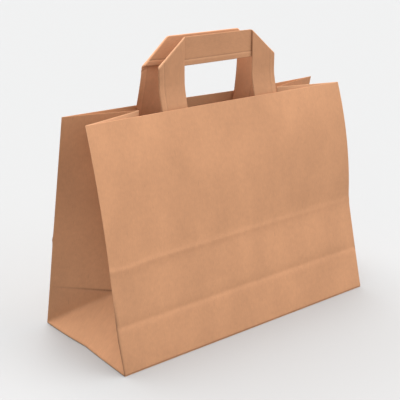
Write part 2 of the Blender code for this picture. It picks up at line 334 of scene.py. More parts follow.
def panel_part(bag, side, x, z):
    left = edge_across(bag, -1, side, z)
    return (x - left) / (edge_across(bag, 1, side, z) - left)


def panel_at(bag, side, x, z):
    """The panel's depth at a distance across the bag."""
    return panel_depth(bag, side, panel_part(bag, side, x, z), z)


def panel_lean(bag, side, x, z):
    """How much depth the panel loses for each unit of height."""
    step = 0.001
    return (panel_at(bag, side, x, z - step) - panel_at(bag, side, x, z)) / step


def panel_slack(bag, part, z):
    """How freely a panel may wave, from 0 at its edges, foot and rim to 1 in the open paper."""
    across = ease(part, 0.0, TAUT_SIDE) * ease(1 - part, 0.0, TAUT_SIDE)
    return across * ease(z, 0.0, TAUT_FOOT) * ease(bag.height - z, 0.0, TAUT_RIM)


def centre_crease(bag, end, z):
    """The gusset's centre crease at this height: one gusset half away from both panel edges."""
    part = 0.5 + 0.5 * end
    front = -panel_depth(bag, FRONT, part, z)
    back = panel_depth(bag, BACK, part, z)
    inset = np.sqrt(bag.gusset_half**2 - ((back - front) / 2) ** 2)
    return stack(end * (half_width(bag, z) - inset), (front + back) / 2, z)


def corner_edge(bag, end, side, z):
    part = 0.5 + 0.5 * end
    return stack(edge_across(bag, end, side, z), side * panel_depth(bag, side, part, z), z)


def foot_point(bag, end, side, part, z):
    """The gusset's bottom edge, from a corner at 0 to the middle at 1, which bows inwards."""
    corner = corner_edge(bag, end, side, 0.0)
    middle = end * (bag.width / 2 - bag.foot_bow)
    return stack(between(corner[..., 0], middle, part**2), between(corner[..., 1], 0.0, part), z)


def gusset_half(bag, end, side, parts, heights, base):
    """Points of one gusset half. Below the apex it is a sloping ramp with a triangle above it."""
    across = parts[None, :, None]
    up = parts[:, None, None]
    apex = centre_crease(bag, end, bag.apex_height)
    diagonal = between(foot_point(bag, end, side, 0.0, base), apex, across)
    foot = foot_point(bag, end, side, parts, base)[None]
    crease = between(corner_edge(bag, end, side, bag.low_crease), apex, across)
    ramp = between(foot, diagonal, up / np.where(across > 0, across, 1))
    triangle = between(diagonal, crease, (up - across) / np.where(across < 1, 1 - across, 1))
    lower = np.where(up <= across, ramp, triangle)
    rise = (heights - bag.low_crease) / (bag.height - bag.low_crease)
    inner = centre_crease(bag, end, between(bag.apex_height, bag.height, rise))[:, None]
    upper = between(corner_edge(bag, end, side, heights)[:, None], inner, across)
    return np.concatenate([lower, upper])


def rim_sag(bag, side, part, z):
    """How far the slack paper of the back panel sinks, all of it in the top third of the panel."""
    if side == FRONT:
        return np.zeros_like(part * z)
    held = 0.05
    between_ends = ease(part, 0.0, held) * ease(1 - part, 0.0, held)
    dip = fading(part - bag.sag_place, bag.sag_width) * between_ends
    return bag.back_sag * dip * ease(z, bag.height * bag.sag_start, bag.height)


def panel_sheet(bag, side, parts, heights):
    z = heights[:, None] - rim_sag(bag, side, parts[None], heights[:, None])
    left = edge_across(bag, -1, side, z)
    x = between(left, edge_across(bag, 1, side, z), parts[None])
    return stack(x, side * panel_depth(bag, side, parts[None], z), z)


def upper_crease_line(bag, part):
    """Height of the upper crease, which dips a little beside the front left edge."""
    return bag.high_crease - bag.ridge_drop - bag.ridge_dip * fading(part - bag.dip_place, bag.dip_width)


def crease_relief(bag, part, z):
    """The upper crease is pushed out into a ridge and the lower one into a valley."""
    reach = bag.crease_width * math.sqrt(2)
    ridge = fading(z - upper_crease_line(bag, part), reach)
    valley = fading(z - bag.low_crease - bag.valley_rise, reach)
    return bag.crease_relief * (ridge - valley)


def pull_in(points, pairs):
    """Rounds off folds: each point moves towards the chord of its neighbours, and stays on flat paper."""
    fine = FOLD_LINES[1]
    for _ in range(ROUNDING_TURNS):
        move = np.zeros_like(points)
        for first, second in pairs:
            one = points[first]
            two = points[second]
            to_one = np.linalg.norm(points - one, axis=1, keepdims=True)
            to_two = np.linalg.norm(points - two, axis=1, keepdims=True)
            total = np.where(to_one + to_two > 0, to_one + to_two, 1)
            chord = (one * to_two + two * to_one) / total
            rate = ROUNDING * np.minimum(1, fine**2 / np.maximum(to_one * to_two, 1e-12))
            alone = (first == second)[:, None]
            move += np.where(alone, 0, rate * (chord - points))
        points = points + move
    return points


class BagGrid:
    """The whole folded sheet as one ring of columns and rows, with the base inside its foot."""

    def __init__(self, bag):
        self.bag = bag
        self.base = 2 * bag.flap
        across = graded(bag.width, PANEL_STEP) / bag.width
        self.seam = 1 - bag.seam_from_edge / bag.width
        self.panel_parts = np.sort(np.append(across, [self.seam + line for line in SEAM_LINES]))
        self.gusset_parts = graded(bag.gusset_half, GUSSET_STEP) / bag.gusset_half
        middle = bag.low_crease + graded(bag.high_crease - bag.low_crease, ROW_STEP)[1:]
        top = bag.high_crease + graded(bag.height - bag.high_crease, ROW_STEP)[1:]
        self.upper = np.concatenate([middle, top])
        lower = between(self.base, bag.low_crease, self.gusset_parts)
        self.heights = np.concatenate([lower, self.upper])
        self.make_ring()
        self.make_base()
        self.join_neighbours()

    def make_ring(self):
        """Points and properties of the walls, from the front left corner round to the left gusset."""
        bag = self.bag
        rows = len(self.heights)
        z = self.heights[:, None]
        sections = []
        for side, end in ((FRONT, 1), (BACK, -1)):
            parts = self.panel_parts if side == FRONT else self.panel_parts[::-1]
            panel = panel_sheet(bag, side, parts, self.heights)
            relief = crease_relief(bag, parts[None], z)
            if side == BACK:
                under_seam = (parts[None] > self.seam) * (1 - ease(parts[None], 0.99, 1.0))
                relief = relief - bag.paper * under_seam
            slack = panel_slack(bag, parts[None], z)
            sections.append((panel, relief, slack))
            near = gusset_half(bag, end, side, self.gusset_parts, self.upper, self.base)
            far = gusset_half(bag, end, -side, self.gusset_parts, self.upper, self.base)
            gusset = np.concatenate([near[:, 1:], far[:, -2:0:-1]], axis=1)
            inwards = np.concatenate([self.gusset_parts[1:], self.gusset_parts[-2:0:-1]])[None]
            slack = 4 * inwards * (1 - inwards) * ease(z, bag.apex_height, bag.apex_height + TAUT_APEX)
            slack = slack * ease(bag.height - z, 0.0, TAUT_RIM)
            sections.append((gusset, np.zeros((rows, gusset.shape[1])), slack))
        along = np.zeros(len(self.panel_parts))
        self.inwards = np.concatenate([along, inwards[0], along, inwards[0]])[None]
        self.wall = np.concatenate([section[0] for section in sections], axis=1)
        for name, i in (("relief", 1), ("slack", 2)):
            filled = [np.broadcast_to(section[i], section[0].shape[:2]) for section in sections]
            setattr(self, name, np.concatenate(filled, axis=1))
        panel = len(self.panel_parts)
        gusset = 2 * len(self.gusset_parts) - 3
        self.corners = (0, panel - 1, panel + gusset, 2 * panel + gusset - 1)
        self.columns = 2 * (panel + gusset)
        self.rows = rows
        self.ring = np.arange(rows * self.columns).reshape(rows, self.columns)

    def foot_rim(self):
        """Indices of the foot's ring as the four sides of the base: front, back, left and right."""
        front_left, front_right, back_right, back_left = self.corners
        front = np.arange(front_left, front_right + 1)
        right = np.arange(front_right, back_right + 1)
        back = np.arange(back_right, back_left + 1)[::-1]
        left = np.append(np.arange(back_left, self.columns), 0)[::-1]
        return front, back, left, right

    def make_base(self):
        """The flat base, laid out between the four sides of the foot."""
        front, back, left, right = self.foot_rim()
        foot = self.wall[0]
        deep = len(left)
        wide = len(front)
        index = np.zeros((deep, wide), int)
        index[0], index[-1], index[:, 0], index[:, -1] = front, back, left, right
        index[1:-1, 1:-1] = self.ring.size + np.arange((deep - 2) * (wide - 2)).reshape(deep - 2, wide - 2)
        across = self.panel_parts[None, :, None]
        run = foot[left][:, 1]
        along = ((run - run[0]) / (run[-1] - run[0]))[:, None, None]
        front_to_back = between(foot[front][None], foot[back][None], along)
        left_to_right = between(foot[left][:, None], foot[right][:, None], across)
        front_line = between(foot[front[0]], foot[front[-1]], across)
        back_line = between(foot[back[0]], foot[back[-1]], across)
        laid = front_to_back + left_to_right - between(front_line, back_line, along)
        self.base_index = index
        self.points = np.concatenate([self.wall.reshape(-1, 3), laid[1:-1, 1:-1].reshape(-1, 3)])

    def join_neighbours(self):
        """For each point, its two neighbours in each direction of the grid, or itself where it has none."""
        ring = self.ring
        pairs = np.tile(np.arange(len(self.points)), (2, 2, 1))
        pairs[0][:, ring] = np.roll(ring, 1, axis=1), np.roll(ring, -1, axis=1)
        pairs[1][:, ring[1:-1]] = ring[:-2], ring[2:]
        grid = self.base_index
        inside = grid[1:-1, 1:-1]
        pairs[0][:, inside] = grid[1:-1, :-2], grid[1:-1, 2:]
        pairs[1][:, inside] = grid[:-2, 1:-1], grid[2:, 1:-1]
        for turned in (grid, grid[::-1], grid.T, grid.T[::-1]):
            edge = turned[0, 1:-1]
            pairs[1][:, edge] = turned[1, 1:-1], ring[1][edge]
        for turned in (grid, grid[::-1], grid[:, ::-1], grid[::-1, ::-1]):
            corner = turned[0, 0]
            pairs[1][:, corner] = turned[1, 1], ring[1][corner]
        self.pairs = pairs

    def faces(self):
        return quads(np.column_stack([self.ring, self.ring[:, 0]])), quads(self.base_index.T)

    def flat_places(self):
        """Where each face corner lies on the flat sheet, in metres."""
        walls, floor = self.faces()
        wall = self.wall
        steps = np.linalg.norm(np.roll(wall, -1, axis=1) - wall, axis=2)[-1]
        starts = np.concatenate([[0.0], np.cumsum(steps)])
        climbs = np.linalg.norm(np.diff(wall[:, len(self.panel_parts) // 2], axis=0), axis=1)
        rises = np.concatenate([[0.0], np.cumsum(climbs)])
        row, column = np.divmod(walls, self.columns)
        closing = (column == 0) & (column.max(axis=1, keepdims=True) == self.columns - 1)
        run = np.where(closing, starts[-1], starts[column])
        wall_places = np.stack([run, rises[row]], axis=-1)
        floor_places = self.points[floor][..., :2] + np.array(BASE_PLACE)
        return np.concatenate([wall_places.reshape(-1, 2), floor_places.reshape(-1, 2)])


# Painted shade: a dark line that fades with distance from a fold, the seam or a corner
def painted_shade_line(name, distance):
    reach, darkness = PAINTED_SHADE_LINES[name]
    return darkness * fading(distance, reach)


def wall_shade(grid):
    """Painted shade, darker along the foot, the front left edge and its lower corner, the seam and the gusset
    crease.
    """
    z = grid.heights[:, None]
    wall = grid.wall
    column = np.arange(grid.columns)[None]
    on_front = column < len(grid.panel_parts)
    on_back = (column >= grid.corners[2]) & (column <= grid.corners[3])
    from_edge = np.linalg.norm(wall - wall[:, :1], axis=2)
    from_foot = np.linalg.norm(wall - wall[:1], axis=2)
    part = (wall[..., 0] / half_width(grid.bag, z) + 1) / 2
    from_seam = (part - grid.seam) * grid.bag.width - SEAM_SHADOW
    corner_squash = 1.2
    edge_fades_from, edge_ends_at = 0.045, 0.085
    return np.max(np.broadcast_arrays(
        painted_shade_line("front left edge", from_edge) * (1 - ease(z, edge_fades_from, edge_ends_at)),
        painted_shade_line("seam", from_seam) * on_back,
        painted_shade_line("foot", z - grid.base),
        painted_shade_line("gusset foot", from_foot),
        painted_shade_line("gusset crease", z - grid.bag.low_crease) * grid.inwards,
        painted_shade_line("lower left corner", np.hypot(from_edge, z / corner_squash)) * on_front,
    ), axis=0)


# Paper


class Wiring:
    """Adds nodes to a tree, each with its settings and its inputs: values, other nodes or their outputs."""

    def __init__(self, tree):
        self.tree = tree

    def add(self, kind, inputs=None, **settings):
        node = self.tree.nodes.new(kind)
        for name, value in settings.items():
            setattr(node, name, value)
        for key, value in (inputs or {}).items():
            self.put(node.inputs[key], value)
        return node

    def put(self, socket, value):
        if isinstance(value, bpy.types.Node):
            value = value.outputs[0]
        if isinstance(value, bpy.types.NodeSocket):
            self.tree.links.new(value, socket)
        else:
            socket.default_value = value

    def sums(self, operation, *values):
        return self.add("ShaderNodeMath", dict(enumerate(values)), operation=operation)

    def scaled(self, vector, factor):
        return self.add("ShaderNodeVectorMath", {0: vector, "Scale": factor}, operation="SCALE")

    def noise(self, vector, scale, detail, roughness):
        inputs = {"Vector": vector, "Scale": scale, "Detail": detail, "Roughness": roughness}
        return self.add("ShaderNodeTexNoise", inputs)

    def swing(self, noise, amount):
        """A noise that swings up and down by the amount, instead of between 0 and 1."""
        return self.sums("MULTIPLY_ADD", noise, 2 * amount, -amount)

    def named(self, name):
        return self.add("GeometryNodeInputNamedAttribute", {"Name": name}, data_type="FLOAT")


def sheet_tree():
    """Geometry nodes that make paper of a bare sheet: its waves and creases first, then its thickness."""
    tree = bpy.data.node_groups.new("Kraft sheet", "GeometryNodeTree")
    tree.interface.new_socket("Geometry", in_out="INPUT", socket_type="NodeSocketGeometry")
    for name in ("Thickness", "Outward Share", "Wave Height", "Wave Length", "Pallor"):
        tree.interface.new_socket(name, in_out="INPUT", socket_type="NodeSocketFloat")
    tree.interface.new_socket("Seed", in_out="INPUT", socket_type="NodeSocketInt")
    tree.interface.new_socket("Paper", in_out="INPUT", socket_type="NodeSocketMaterial")
    tree.interface.new_socket("Geometry", in_out="OUTPUT", socket_type="NodeSocketGeometry")
    nodes = Wiring(tree)
    given = nodes.add("NodeGroupInput").outputs
    normal = nodes.add("GeometryNodeInputNormal").outputs["Normal"]
    pitch = nodes.sums("DIVIDE", 1.0, given["Wave Length"])
    noise = nodes.add(
        "ShaderNodeTexNoise", {"W": given["Seed"], "Scale": pitch, "Detail": 1.0}, noise_dimensions="4D"
    )
    wave = nodes.sums("MULTIPLY", nodes.swing(noise, 1.0), given["Wave Height"])
    height = nodes.sums("MULTIPLY_ADD", wave, nodes.named("slack"), nodes.named("relief"))
    shaped = nodes.add(
        "GeometryNodeSetPosition", {"Geometry": given["Geometry"], "Offset": nodes.scaled(normal, height)}
    )
    thickness = nodes.sums("MULTIPLY", given["Thickness"], nodes.named("ply"))
    outwards = nodes.sums("MULTIPLY", thickness, given["Outward Share"])
    outer = nodes.add(
        "GeometryNodeSetPosition", {"Geometry": shaped, "Offset": nodes.scaled(normal, outwards)}
    )
    inner = nodes.add(
        "GeometryNodeExtrudeMesh",
        {"Mesh": outer, "Offset Scale": nodes.sums("MULTIPLY", thickness, -1.0), "Individual": False},
        mode="FACES",
    )
    # Painted light: the inner face's fold value is lowered by the pallor, so the paper there renders paler
    lighter = nodes.sums("SUBTRACT", nodes.named("fold"), given["Pallor"])
    paler = nodes.add(
        "GeometryNodeStoreNamedAttribute",
        {"Geometry": inner, "Selection": inner.outputs["Top"], "Name": "fold", "Value": lighter},
        data_type="FLOAT",
        domain="POINT",
    )
    joined = nodes.add("GeometryNodeJoinGeometry", {"Geometry": outer})
    nodes.put(joined.inputs["Geometry"], nodes.add("GeometryNodeFlipFaces", {"Mesh": paler}))
    closed = nodes.add("GeometryNodeMergeByDistance", {"Geometry": joined, "Distance": 0.000002})
    smooth = nodes.add("GeometryNodeSetShadeSmooth", {"Geometry": closed, "Shade Smooth": True})
    real = nodes.add("GeometryNodeRealizeInstances", {"Geometry": smooth})
    dressed = nodes.add("GeometryNodeSetMaterial", {"Geometry": real, "Material": given["Paper"]})
    nodes.add("NodeGroupOutput", {"Geometry": dressed})
    return tree


def bare_sheet(name, points, faces, places, relief, slack, ply, fold):
    """A mesh of the sheet's outer face alone, with the values that its paper is made from."""
    mesh = bpy.data.meshes.new(name)
    mesh.from_pydata(points.tolist(), [], faces.tolist())
    layer = mesh.uv_layers.new(name="flat sheet")
    layer.uv.foreach_set("vector", places.astype(np.float32).ravel())
    for label, values in (("relief", relief), ("slack", slack), ("ply", ply), ("fold", fold)):
        spread = np.broadcast_to(values, len(points)).astype(np.float32)
        mesh.attributes.new(label, "FLOAT", "POINT").data.foreach_set("value", spread)
    return mesh


def paper_piece(name, sheet, bag, paper, slot, node, **sizes):
    """Turns a bare sheet into a finished paper piece that rides on the bag and stands for its CAD node."""
    piece = bpy.data.objects.new(name, sheet)
    bpy.context.scene.collection.objects.link(piece)
    tree = bpy.data.node_groups.get("Kraft sheet") or sheet_tree()
    identifiers = {item.name: item.identifier for item in tree.interface.items_tree if item.in_out == "INPUT"}
    folding = piece.modifiers.new("Paper", "NODES")
    folding.node_group = tree
    sizes.update(wave_height=bag.wave_height, wave_length=bag.wave_length, seed=WAVE_SEED, paper=paper)
    for label, value in sizes.items():
        folding[identifiers[label.replace("_", " ").title()]] = value
    made = bpy.data.meshes.new_from_object(piece.evaluated_get(bpy.context.evaluated_depsgraph_get()))
    piece.modifiers.remove(folding)
    piece.data = made
    made.name = name
    bpy.data.meshes.remove(sheet)
    for label in ("relief", "slack", "ply"):
        made.attributes.remove(made.attributes[label])
    dress(piece, node)


def dress(piece, node):
    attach(piece, "root")
    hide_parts(node)


def kraft_paper(name, look, tone, seed):
    """Uncoated kraft: soft blotches of pulp, fine fibre lines and sparse flecks, with painted shade and
    painted light from the fold attribute.
    """
    if name in bpy.data.materials:
        return bpy.data.materials[name]
    material = bpy.data.materials.new(name)
    material.use_nodes = True
    nodes = Wiring(material.node_tree)
    shader = material.node_tree.nodes["Principled BSDF"].inputs
    flat = nodes.add("ShaderNodeUVMap", uv_map="flat sheet")
    moved = nodes.add("ShaderNodeMapping", {"Vector": flat, "Location": (0.37 * seed, 0.21 * seed, 0.0)})
    stretched = nodes.add("ShaderNodeMapping", {"Vector": moved, "Scale": (1.0, 0.16, 1.0)})
    drawn = nodes.add("ShaderNodeMapping", {"Vector": moved, "Scale": (1.0, 0.55, 1.0)})
    clouds = nodes.noise(drawn, scale=27.0, detail=5.0, roughness=0.55)
    pulp = nodes.noise(moved, scale=210.0, detail=3.0, roughness=0.6)
    fibres = nodes.noise(stretched, scale=1100.0, detail=3.0, roughness=0.65)
    flecks = nodes.noise(stretched, scale=620.0, detail=1.0, roughness=0.5)
    cloud = nodes.swing(clouds, look.cloud)
    grain = nodes.swing(pulp, look.grain * look.cloud)
    fibre = nodes.swing(fibres, look.fibre)
    fleck = nodes.add(
        "ShaderNodeMapRange", {"Value": flecks, "From Min": 0.70, "From Max": 0.80, "To Max": -look.fleck}
    )
    shift = nodes.sums("ADD", nodes.sums("ADD", cloud, grain), nodes.sums("ADD", fibre, fleck))
    # The fold attribute: painted shade where it is above 0, painted light where it is below 0
    folds = nodes.add("ShaderNodeAttribute", attribute_name="fold").outputs["Fac"]
    painted = nodes.sums("MULTIPLY", folds, -look.painted_shade_and_light)
    shaded = nodes.scaled(tuple(tone), nodes.sums("ADD", nodes.sums("ADD", shift, painted), 1.0))
    painted_light = nodes.scaled(tuple(look.painted_light_colour), nodes.sums("MAXIMUM", painted, 0.0))
    nodes.put(shader["Base Color"], nodes.add("ShaderNodeVectorMath", {0: shaded, 1: painted_light}))
    uneven = nodes.swing(fibres, look.unevenness)
    nodes.put(shader["Roughness"], nodes.sums("ADD", uneven, look.roughness))
    nodes.put(shader["Specular IOR Level"], look.sheen)
    pulp_height = 0.6
    relief = nodes.sums("MULTIPLY_ADD", pulp, pulp_height, fibres)
    bump = {"Height": relief, "Strength": look.tooth_strength, "Distance": look.tooth}
    nodes.put(shader["Normal"], nodes.add("ShaderNodeBump", bump))
    return material


# The pieces


def make_bag(bag, look):
    grid = BagGrid(bag)
    points = pull_in(grid.points, grid.pairs)
    walls, floor = grid.faces()
    inside = len(grid.points) - grid.ring.size
    relief = np.append(grid.relief.ravel(), np.zeros(inside))
    slack = np.append(grid.slack.ravel(), np.zeros(inside))
    fold = np.append(wall_shade(grid).ravel(), np.zeros(inside))
    sheet = bare_sheet(
        "bag_sheet", points, np.concatenate([walls, floor]), grid.flat_places(), relief, slack, 1.0, fold
    )
    paper_piece(
        "bag_sheet", sheet, bag, kraft_paper("bag kraft", look, look.bag_colour, 1), "bag", "bag_body",
        thickness=bag.paper, outward_share=0.0, pallor=look.inner_painted_light,
    )


def slab(outline, lowest, highest):
    """A flat ply with a slightly rounded edge: points and faces, counted from the bottom ring up."""
    outline = np.array(outline)
    away = outline - outline.mean(axis=0)
    rounding = 0.00012
    inner = outline - away * rounding / np.linalg.norm(away, axis=1, keepdims=True)
    rings = (inner, outline, outline, inner)
    levels = [between(lowest, highest, part) for part in (0.0, 0.35, 0.65, 1.0)]
    points = np.concatenate([np.insert(ring, 2, z, axis=1) for ring, z in zip(rings, levels)])
    count = len(outline)
    index = np.arange(4 * count).reshape(4, count)
    sides = quads(np.column_stack([index, index[:, 0]]))
    return points, [index[0, ::-1].tolist(), index[3].tolist()] + sides.tolist()


def bottom_flap(bag, side, lowest):
    """A bottom flap with its corners folded in at 45 degrees, from its own fold to past the middle."""
    free = -side * bag.flap_overlap / 2
    fold_line = []
    free_line = []
    for end in (-1, 1):
        corner, depth, _ = corner_edge(bag, end, side, 0.0)
        fold = depth - side * CLEARANCE
        across = corner - end * CLEARANCE
        fold_line.append((across, fold))
        free_line.append((across - end * abs(fold - free), free))
    outline = fold_line + free_line[::-1]
    if side == BACK:
        outline.reverse()
    return slab(outline, lowest, lowest + bag.flap)


def end_ply(bag, end):
    """Inside the base, the end of the tube that the flaps were folded over: a trapezoid at each gusset."""
    floor = 2 * bag.flap + bag.paper
    from_fold, from_corner, slant, from_middle = 0.0012, 0.0055, 0.94, 0.0025
    outline = []
    for side in (FRONT, BACK):
        corner, depth, _ = corner_edge(bag, end, side, 0.0)
        depth -= side * from_fold
        outline.append((corner - end * from_corner, depth))
        outline.append((corner - end * (from_corner + abs(depth) * slant), side * from_middle))
    outline = [outline[0], outline[1], outline[3], outline[2]]
    if end < 0:
        outline.reverse()
    return slab(outline, floor, floor + bag.paper)


def make_bottom(bag, look):
    """The glued plies of the block bottom: two flaps outside it and the ends of the tube inside it."""
    flaps = [bottom_flap(bag, BACK, bag.flap), bottom_flap(bag, FRONT, 0.0)]
    plies = flaps + [end_ply(bag, -1), end_ply(bag, 1)]
    points = []
    faces = []
    for ply_points, ply_faces in plies:
        faces += [tuple(i + len(points) for i in face) for face in ply_faces]
        points += ply_points.tolist()
    mesh = bpy.data.meshes.new("bottom_plies")
    mesh.from_pydata(points, [], faces)
    layer = mesh.uv_layers.new(name="flat sheet")
    for loop in mesh.loops:
        layer.uv[loop.index].vector = mesh.vertices[loop.vertex_index].co.xy + Vector(PLIES_PLACE)
    mesh.attributes.new("fold", "FLOAT", "POINT")
    mesh.materials.append(kraft_paper("bag kraft", look, look.bag_colour, 1))
    piece = bpy.data.objects.new("bottom_plies", mesh)
    bpy.context.scene.collection.objects.link(piece)
    dress(piece, "bag_body")


def hermite(start, start_slope, end, end_slope, part):
    """A smooth curve between two values, with the slopes given over the whole length."""
    square = part**2
    cube = part**3
    curve = (2 * cube - 3 * square + 1) * start + (3 * square - 2 * cube) * end
    return curve + (cube - 2 * square + part) * start_slope + (cube - square) * end_slope


def leg_on_panel(bag, handle, side, x, z):
    """The middle of a leg's thickness where it lies against the panel."""
    lean = panel_lean(bag, side, x, z)
    return panel_at(bag, side, x, z) - (bag.paper + CLEARANCE + handle.hem / 2) * np.hypot(1, lean)


def leg_depth(bag, handle, side, x, z):
    """The middle of a leg's thickness: glued to the panel, free from the patch up, and upright at the top."""
    glued_to = bag.height - handle.patch_below_rim
    if z <= glued_to:
        return leg_on_panel(bag, handle, side, x, z)
    upright = (handle.spread + handle.fold_pitch) / 2
    off_rim = handle.front_leg_off_rim if side == FRONT else 0.0
    rim = leg_on_panel(bag, handle, side, x, bag.height) - off_rim
    free = (handle.front_bend_top if side == FRONT else handle.rear_bend_top) - bag.height
    slope = (upright - rim) / free
    rim_slope = slope * handle.lean_at_rim
    if z > bag.height:
        part = min((z - bag.height) / free, 1)
        return hermite(rim, rim_slope * free, upright, slope * handle.lean_at_top * free, part)
    inside = bag.height - glued_to
    panel_slope = -panel_lean(bag, side, x, glued_to)
    start = leg_on_panel(bag, handle, side, x, glued_to)
    return hermite(start, panel_slope * inside, rim, rim_slope * inside, (z - glued_to) / inside)


def leg_splay(bag, handle, side, z):
    """How far out a leg stands from its place at the fold. Only the rear handle's legs spread."""
    if side == FRONT:
        return 0.0
    return handle.rear_leg_splay * min(1.0, (handle.rear_bend_top - z) / (handle.rear_bend_top - bag.height))


def leg_edges(handle, side, end):
    """How far from the middle the edges of a leg stand at its fold: the outer edge and the inner one."""
    inner = handle.width / 2 - handle.leg_width
    if side == FRONT:
        return inner + handle.leg_width, inner
    if end < 0:
        inner += handle.rear_reach + handle.leg_width - handle.rear_leg_width
    return inner + handle.rear_leg_width, inner


def strip_distances(handle):
    """Distances across the strip from its outer edge, closer together at its edges and at the hem's step."""
    hem = handle.hem_width
    wide = handle.leg_width
    near = [0.0, 0.0002, 0.0005, 0.0010, 0.0022, 0.0036, hem - 0.0012, hem - 0.0006, hem - 0.0001]
    open_part = [hem + 0.0002, hem + 0.0006, hem + 0.0012]
    inner = list(np.linspace(hem + 0.0022, wide - 0.0024, 9))
    return np.array(near + open_part + inner + [wide - 0.0010, wide - 0.0005, wide - 0.0002, wide])


def strip_line(bag, handle, side, end, part):
    """One line up a leg, round its diagonal fold and along the grip to the middle.

    Each point is x, y and z, and how far it is round the fold: 0 on the leg and 1 on the grip.
    """
    outer, inner = leg_edges(handle, side, end)
    leg_width = outer - inner
    x = outer - part * leg_width
    top = handle.front_top if side == FRONT else handle.rear_top
    bend_top = handle.front_bend_top if side == FRONT else handle.rear_bend_top
    z = top - (1 - part) * handle.grip_height
    reach = math.hypot(handle.grip_height, leg_width)
    set_back = (handle.fold_pitch + handle.hem) / 2
    leg = (handle.spread + handle.fold_pitch) / 2
    pitch = handle.fold_pitch + handle.fold_spring * (1 - part)
    fold_start = z - set_back * reach / leg_width
    foot = bag.height - handle.leg_below_rim
    beside = fold_start - np.array(FOLD_LINES[:0:-1])
    leg_rows = np.linspace(foot, bend_top, LEG_ROWS)
    heights = np.concatenate([leg_rows, np.linspace(bend_top, beside[0], BEND_ROWS)[1:-1], beside])
    line = []
    for height in heights:
        across = end * (x + leg_splay(bag, handle, side, height))
        line.append((across, side * leg_depth(bag, handle, side, across, height), height, 0.0))
    for i in range(CORNER_STEPS + 1):
        turn = math.pi * i / CORNER_STEPS
        bulge = pitch / 2 * math.sin(turn) / reach
        depth = leg - pitch / 2 * (1 - math.cos(turn))
        turned = i / CORNER_STEPS
        fold_x = x - set_back * reach / handle.grip_height * turned + handle.grip_height * bulge
        fold_z = z - set_back * reach / leg_width * (1 - turned) + leg_width * bulge
        line.append((end * fold_x, side * depth, fold_z, turned))
    grip_end = line[-1][0]
    half_grip = handle.width / 2 - handle.leg_width
    held_by_fold, sprung_by_fold = 0.012, 0.030
    for away in graded(half_grip, GRIP_STEP, end=False)[1:]:
        sag = handle.grip_sag * (1 - part) * ease(away, 0.0, held_by_fold)
        depth = leg - between(pitch, handle.fold_pitch, ease(away, 0.0, sprung_by_fold))
        line.append((grip_end * (1 - away / half_grip), side * depth, z - sag, 1.0))
    return line


def strip_shade(handle, distances, turned):
    """A line of painted shade beside the hem, and painted highlights along the hem's edge and round the
    corner folds.
    """
    from_hem = (distances - handle.hem_width)[:, None]
    fold = np.sin(np.pi * turned)
    on_grip = ease(turned, 0.5, 1.0)
    hem_painted_shade = between(*HEM_PAINTED_SHADE, on_grip) * fading(from_hem - HEM_LINE, HEM_LINE)
    painted_light = between(*HEM_PAINTED_HIGHLIGHT, on_grip) * fading(from_hem + HEM_LINE, HEM_LINE)
    return (hem_painted_shade - painted_light) * (1 - fold) - CORNER_PAINTED_HIGHLIGHT * fold


def make_handle(bag, handle, paper, pallor, name, side, node):
    """One strip: up the left leg, over the grip and down the right leg."""
    distances = strip_distances(handle)
    lines = []
    for part in distances / handle.leg_width:
        left = strip_line(bag, handle, side, -1, part)
        right = strip_line(bag, handle, side, 1, part)
        lines.append(left + right[-2::-1])
    points, turned = np.split(np.array(lines), [3], axis=2)
    across, along, _ = points.shape
    faces = quads_on_side(points, side)
    run = np.concatenate([[0], np.cumsum(np.linalg.norm(np.diff(points[across // 2], axis=0), axis=1))])
    flat = stack(distances[:, None], run[None], 0.0)[..., :2].reshape(-1, 2)
    edge = np.minimum(distances, handle.leg_width - distances)
    roll = 0.0005
    thinnest = 0.12
    rounded = np.sqrt(np.clip(1 - (1 - np.minimum(edge, roll) / roll) ** 2, thinnest, 1))
    ply = np.where(distances < handle.hem_width, 1.0, handle.strip / handle.hem) * rounded
    x, z = points[..., 0], points[..., 2]
    free_below_rim = 0.008
    glued = 1 - ease(z, bag.height - handle.patch_below_rim, bag.height - free_below_rim)
    slack = -panel_slack(bag, panel_part(bag, side, x, z), z) * glued
    sheet = bare_sheet(
        name, points.reshape(-1, 3), faces, flat[faces].reshape(-1, 2), 0.0, slack.ravel(),
        np.repeat(ply, along), strip_shade(handle, distances, turned[..., 0]).ravel(),
    )
    paper_piece(
        name, sheet, bag, paper, "handle", node, thickness=handle.hem, outward_share=0.5, pallor=pallor
    )


